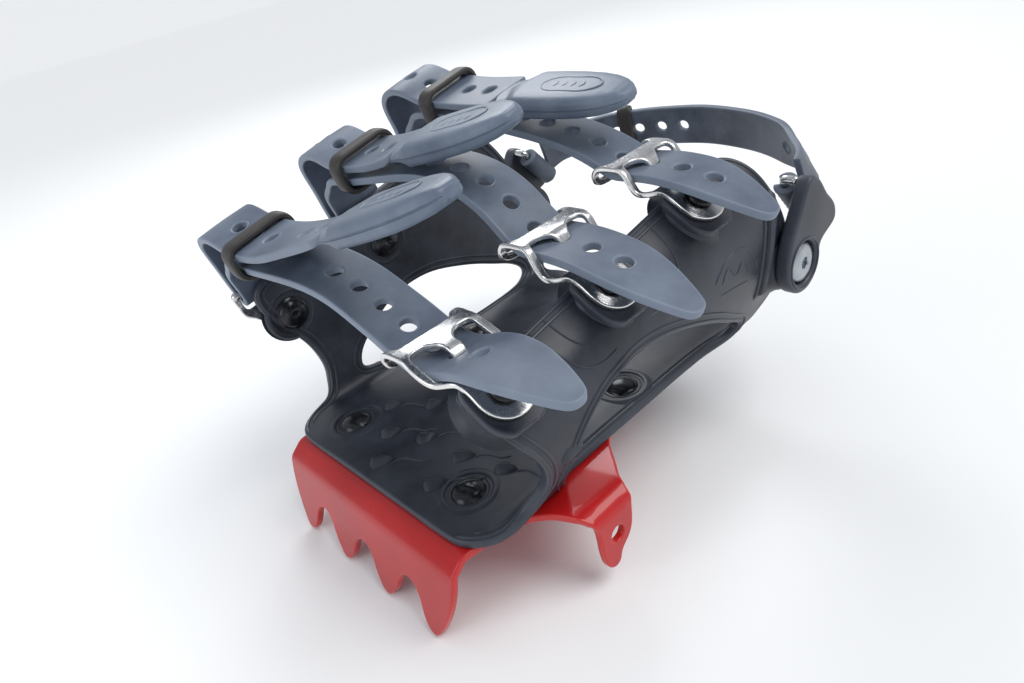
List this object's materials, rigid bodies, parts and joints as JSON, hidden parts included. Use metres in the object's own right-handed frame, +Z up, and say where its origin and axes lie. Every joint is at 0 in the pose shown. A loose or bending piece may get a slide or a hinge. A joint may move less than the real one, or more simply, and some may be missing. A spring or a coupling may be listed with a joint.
{
  "type": "toe crampon with strap harness",
  "caption": "Pivoting toe crampon: a toothed red steel plate under a rubber boot harness with pegged rubber instep straps, pull tabs and a heel strap.",
  "frame": {"origin": "middle of the pivot axis through the two ears of the crampon plate", "axes": "+X along the pivot axis towards the strap tips, +Y towards the heel, +Z up out of the harness"},
  "size_m": [0.1622, 0.2114, 0.1343],
  "materials": {
    "red_steel": "gloss powder coat",
    "harness_rubber": "fine satin moulding with scuffs",
    "strap_rubber": "smooth satin moulding",
    "tab_rubber": "smooth satin moulding",
    "keeper_plastic": "soft matt",
    "buckle_steel": "tumbled bright plating",
    "black_hardware": "black oxide, semi-gloss",
    "plain_steel": "zinc plated",
    "heel_plastic": "moulded, satin",
    "heel_strap_rubber": "smooth satin moulding"
  },
  "bodies": {
    "harness": {"crampon_plate": "red_steel", "harness_floor": "harness_rubber", "harness_wall_right": "harness_rubber", "harness_wall_left": "harness_rubber", "floor_rivets": "black_hardware", "floor_rivet_washers": "plain_steel", "right_buckle_screws": "black_hardware", "left_buckle_screws": "black_hardware", "right_inner_nuts": "black_hardware", "left_inner_nuts": "black_hardware", "heel_screws": "plain_steel", "heel_inner_nuts": "black_hardware"},
    "strap_front": {"strap_front": "strap_rubber", "loop_buckle_front": "buckle_steel", "pull_tab_front": "tab_rubber"},
    "buckle_front": {"peg_buckle_front": "buckle_steel"},
    "keeper_front": {"keeper_front": "keeper_plastic"},
    "strap_middle": {"strap_middle": "strap_rubber", "loop_buckle_middle": "buckle_steel", "pull_tab_middle": "tab_rubber"},
    "buckle_middle": {"peg_buckle_middle": "buckle_steel"},
    "keeper_middle": {"keeper_middle": "keeper_plastic"},
    "strap_rear": {"strap_rear": "strap_rubber", "loop_buckle_rear": "buckle_steel", "pull_tab_rear": "tab_rubber"},
    "buckle_rear": {"peg_buckle_rear": "buckle_steel"},
    "keeper_rear": {"keeper_rear": "keeper_plastic"},
    "heel_strap": {"heel_link_right": "heel_plastic", "heel_link_left": "heel_plastic", "heel_bar_right": "buckle_steel", "heel_bar_left": "buckle_steel", "heel_strap": "heel_strap_rubber"},
    "heel_keeper": {"heel_keeper": "keeper_plastic"}
  },
  "joints": [
    {"name": "strap_front_swing", "type": "hinge", "parent": "harness", "child": "strap_front", "pos_m": [-0.064, -0.0186, 0.052], "axis": [1, 0, 0], "range_deg": [-2.5, 2.5]},
    {"name": "buckle_front_swing", "type": "hinge", "parent": "harness", "child": "buckle_front", "pos_m": [0.061, -0.02, 0.062], "axis": [0.5878, 0, 0.809], "range_deg": [-3, 3]},
    {"name": "keeper_front_slide", "type": "slide", "parent": "strap_front", "child": "keeper_front", "axis": [1, 0, 0], "range_m": [-0.002, 0.003]},
    {"name": "strap_middle_swing", "type": "hinge", "parent": "harness", "child": "strap_middle", "pos_m": [-0.064, 0.0265, 0.06], "axis": [1, 0, 0], "range_deg": [-2.5, 2.5]},
    {"name": "buckle_middle_swing", "type": "hinge", "parent": "harness", "child": "buckle_middle", "pos_m": [0.061, 0.022, 0.0692], "axis": [0.5878, 0, 0.809], "range_deg": [-3, 3]},
    {"name": "keeper_middle_slide", "type": "slide", "parent": "strap_middle", "child": "keeper_middle", "axis": [1, 0, 0], "range_m": [-0.002, 0.003]},
    {"name": "strap_rear_swing", "type": "hinge", "parent": "harness", "child": "strap_rear", "pos_m": [-0.064, 0.068, 0.069], "axis": [1, 0, 0], "range_deg": [-2.5, 2.5]},
    {"name": "buckle_rear_swing", "type": "hinge", "parent": "harness", "child": "buckle_rear", "pos_m": [0.061, 0.063, 0.0762], "axis": [0.5878, 0, 0.809], "range_deg": [-3, 3]},
    {"name": "keeper_rear_slide", "type": "slide", "parent": "strap_rear", "child": "keeper_rear", "axis": [1, 0, 0], "range_m": [-0.002, 0.003]},
    {"name": "heel_strap_swing", "type": "hinge", "parent": "harness", "child": "heel_strap", "pos_m": [0, 0.103, 0.038], "axis": [1, 0, 0], "range_deg": [-58, 18]},
    {"name": "heel_keeper_slide", "type": "slide", "parent": "heel_strap", "child": "heel_keeper", "axis": [0.8875, 0.4596, 0.0335], "range_m": [-0.003, 0.003]}
  ],
  "couplings": [
    {"joint": "buckle_front_swing", "follows": "strap_front_swing", "ratio": 0.9015},
    {"joint": "buckle_middle_swing", "follows": "strap_middle_swing", "ratio": 1.0035},
    {"joint": "buckle_rear_swing", "follows": "strap_rear_swing", "ratio": 0.8637}
  ]
}
